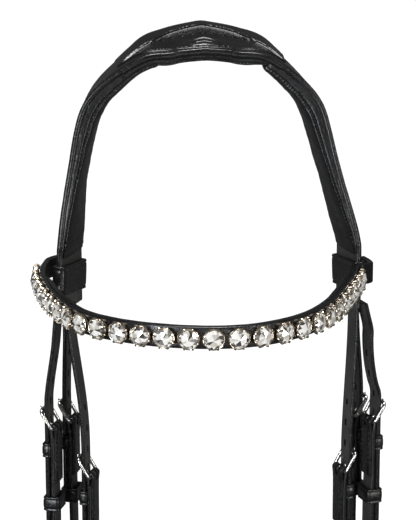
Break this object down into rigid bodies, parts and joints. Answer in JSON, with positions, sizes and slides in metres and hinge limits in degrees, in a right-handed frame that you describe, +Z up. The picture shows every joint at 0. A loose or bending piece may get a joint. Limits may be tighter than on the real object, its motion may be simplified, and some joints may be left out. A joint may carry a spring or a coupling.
{
  "type": "snaffle bridle",
  "caption": "Black leather horse bridle with padded poll headpiece, crystal-set browband, buckled cheekpieces, throatlash and padded noseband, without bit or reins.",
  "frame": {"origin": "middle of the padded underside of the headpiece, where it sits on the poll", "axes": "+Z up, the browband faces -Y, +X to the right as seen from the front"},
  "size_m": [0.2186, 0.2747, 0.4845],
  "materials": {
    "bridle_leather": "glossy black dressed leather",
    "soft_leather": "soft matt black padded lining leather",
    "steel": "polished stainless steel",
    "setting": "polished pale champagne metal",
    "crystal": "faceted clear crystal"
  },
  "bodies": {
    "headpiece": {"crown_strap": "bridle_leather", "crown_padding": "soft_leather", "poll_cover": "bridle_leather", "side_pad_left": "soft_leather", "side_pad_right": "soft_leather"},
    "browband": {"browband_strap": "bridle_leather", "browband_lining": "soft_leather", "crystal_settings": "setting", "crystals": "crystal", "browband_loop_left": "bridle_leather", "browband_loop_right": "bridle_leather"},
    "cheek_left": {"cheek_billet_left": "bridle_leather", "cheekpiece_left": "bridle_leather", "cheek_keeper_left": "bridle_leather", "bit_keepers_left": "bridle_leather", "hook_stud_left": "steel"},
    "cheek_right": {"cheek_billet_right": "bridle_leather", "cheekpiece_right": "bridle_leather", "cheek_keeper_right": "bridle_leather", "bit_keepers_right": "bridle_leather", "hook_stud_right": "steel"},
    "throatlash": {"throat_billet_left": "bridle_leather", "throat_billet_right": "bridle_leather", "throat_end_left": "bridle_leather", "throat_end_right": "bridle_leather", "throat_keeper_left": "bridle_leather", "throat_keeper_right": "bridle_leather", "throatlash_strap": "bridle_leather"},
    "noseband": {"nose_billet_left": "bridle_leather", "nose_billet_right": "bridle_leather", "nose_hanger_left": "bridle_leather", "nose_hanger_right": "bridle_leather", "nose_keeper_left": "bridle_leather", "nose_keeper_right": "bridle_leather", "nosepiece": "bridle_leather", "nose_padding": "soft_leather", "chin_tab": "bridle_leather", "chin_strap": "bridle_leather", "chin_keeper": "bridle_leather"},
    "cheek_frame_left": {"cheek_frame_left": "steel"},
    "cheek_tongue_left": {"cheek_tongue_left": "steel"},
    "cheek_runner_left": {"cheek_runner_left": "bridle_leather"},
    "cheek_frame_right": {"cheek_frame_right": "steel"},
    "cheek_tongue_right": {"cheek_tongue_right": "steel"},
    "cheek_runner_right": {"cheek_runner_right": "bridle_leather"},
    "throat_frame_left": {"throat_frame_left": "steel"},
    "throat_tongue_left": {"throat_tongue_left": "steel"},
    "throat_runner_left": {"throat_runner_left": "bridle_leather"},
    "throat_frame_right": {"throat_frame_right": "steel"},
    "throat_tongue_right": {"throat_tongue_right": "steel"},
    "throat_runner_right": {"throat_runner_right": "bridle_leather"},
    "nose_frame_left": {"nose_frame_left": "steel"},
    "nose_tongue_left": {"nose_tongue_left": "steel"},
    "nose_runner_left": {"nose_runner_left": "bridle_leather"},
    "nose_frame_right": {"nose_frame_right": "steel"},
    "nose_tongue_right": {"nose_tongue_right": "steel"},
    "nose_runner_right": {"nose_runner_right": "bridle_leather"},
    "chin_frame": {"chin_frame": "steel"},
    "chin_tongue": {"chin_tongue": "steel"},
    "chin_runner": {"chin_runner": "bridle_leather"}
  },
  "joints": [
    {"name": "browband_slide", "type": "slide", "parent": "headpiece", "child": "browband", "axis": [0, 0, 1], "range_m": [-0.005, 0.005]},
    {"name": "cheekpiece_swing_left", "type": "hinge", "parent": "headpiece", "child": "cheek_left", "pos_m": [-0.09226, -0.0424, -0.155], "axis": [0.309, 0.9511, 0], "range_deg": [0, 25]},
    {"name": "cheekpiece_swing_right", "type": "hinge", "parent": "headpiece", "child": "cheek_right", "pos_m": [0.09938, -0.04249, -0.155], "axis": [0.309, -0.9511, 0], "range_deg": [0, 25]},
    {"name": "throatlash_swing", "type": "hinge", "parent": "headpiece", "child": "throatlash", "pos_m": [0.005, -0.022, -0.155], "axis": [1, 0, 0], "range_deg": [0, 20]},
    {"name": "noseband_swing", "type": "hinge", "parent": "headpiece", "child": "noseband", "pos_m": [0.0061, -0.04, -0.155], "axis": [-1, 0, 0], "range_deg": [0, 8]},
    {"name": "cheek_buckle_tilt_left", "type": "hinge", "parent": "cheek_left", "child": "cheek_frame_left", "pos_m": [-0.0935, -0.042, -0.2255], "axis": [-0.309, -0.9511, 0], "range_deg": [0, 6]},
    {"name": "cheek_tongue_left_lift", "type": "hinge", "parent": "cheek_frame_left", "child": "cheek_tongue_left", "pos_m": [-0.0935, -0.042, -0.2255], "axis": [-0.309, -0.9511, 0], "range_deg": [0, 10]},
    {"name": "cheek_runner_left_slide", "type": "slide", "parent": "cheek_left", "child": "cheek_runner_left", "axis": [0, 0, 1], "range_m": [-0.008, 0.015]},
    {"name": "cheek_buckle_tilt_right", "type": "hinge", "parent": "cheek_right", "child": "cheek_frame_right", "pos_m": [0.1009, -0.042, -0.2255], "axis": [-0.309, 0.9511, 0], "range_deg": [0, 6]},
    {"name": "cheek_tongue_right_lift", "type": "hinge", "parent": "cheek_frame_right", "child": "cheek_tongue_right", "pos_m": [0.1009, -0.042, -0.2255], "axis": [-0.309, 0.9511, 0], "range_deg": [0, 10]},
    {"name": "cheek_runner_right_slide", "type": "slide", "parent": "cheek_right", "child": "cheek_runner_right", "axis": [0, 0, 1], "range_m": [-0.008, 0.015]},
    {"name": "throat_buckle_tilt_left", "type": "hinge", "parent": "throatlash", "child": "throat_frame_left", "pos_m": [-0.0823, -0.022, -0.2275], "axis": [-0.309, -0.9511, 0], "range_deg": [0, 6]},
    {"name": "throat_tongue_left_lift", "type": "hinge", "parent": "throat_frame_left", "child": "throat_tongue_left", "pos_m": [-0.0823, -0.022, -0.2275], "axis": [-0.309, -0.9511, 0], "range_deg": [0, 10]},
    {"name": "throat_runner_left_slide", "type": "slide", "parent": "throatlash", "child": "throat_runner_left", "axis": [0, 0, 1], "range_m": [-0.008, 0.015]},
    {"name": "throat_buckle_tilt_right", "type": "hinge", "parent": "throatlash", "child": "throat_frame_right", "pos_m": [0.0923, -0.022, -0.2275], "axis": [-0.309, 0.9511, 0], "range_deg": [0, 6]},
    {"name": "throat_tongue_right_lift", "type": "hinge", "parent": "throat_frame_right", "child": "throat_tongue_right", "pos_m": [0.0923, -0.022, -0.2275], "axis": [-0.309, 0.9511, 0], "range_deg": [0, 10]},
    {"name": "throat_runner_right_slide", "type": "slide", "parent": "throatlash", "child": "throat_runner_right", "axis": [0, 0, 1], "range_m": [-0.008, 0.015]},
    {"name": "nose_buckle_tilt_left", "type": "hinge", "parent": "noseband", "child": "nose_frame_left", "pos_m": [-0.0712, -0.042, -0.2575], "axis": [-0.309, -0.9511, 0], "range_deg": [0, 4]},
    {"name": "nose_tongue_left_lift", "type": "hinge", "parent": "nose_frame_left", "child": "nose_tongue_left", "pos_m": [-0.0712, -0.042, -0.2575], "axis": [-0.309, -0.9511, 0], "range_deg": [0, 5]},
    {"name": "nose_runner_left_slide", "type": "slide", "parent": "noseband", "child": "nose_runner_left", "axis": [0, 0, 1], "range_m": [-0.008, 0.015]},
    {"name": "nose_buckle_tilt_right", "type": "hinge", "parent": "noseband", "child": "nose_frame_right", "pos_m": [0.0834, -0.042, -0.2575], "axis": [-0.309, 0.9511, 0], "range_deg": [0, 4]},
    {"name": "nose_tongue_right_lift", "type": "hinge", "parent": "nose_frame_right", "child": "nose_tongue_right", "pos_m": [0.0834, -0.042, -0.2575], "axis": [-0.309, 0.9511, 0], "range_deg": [0, 5]},
    {"name": "nose_runner_right_slide", "type": "slide", "parent": "noseband", "child": "nose_runner_right", "axis": [0, 0, 1], "range_m": [-0.008, 0.015]},
    {"name": "chin_buckle_tilt", "type": "hinge", "parent": "noseband", "child": "chin_frame", "pos_m": [-0.0664, 0.026, -0.4], "axis": [0, 0, 1], "range_deg": [0, 6]},
    {"name": "chin_tongue_lift", "type": "hinge", "parent": "chin_frame", "child": "chin_tongue", "pos_m": [-0.0664, 0.026, -0.4], "axis": [0, 0, 1], "range_deg": [0, 10]},
    {"name": "chin_runner_slide", "type": "slide", "parent": "noseband", "child": "chin_runner", "axis": [0, 1, 0], "range_m": [-0.005, 0.006]}
  ]
}
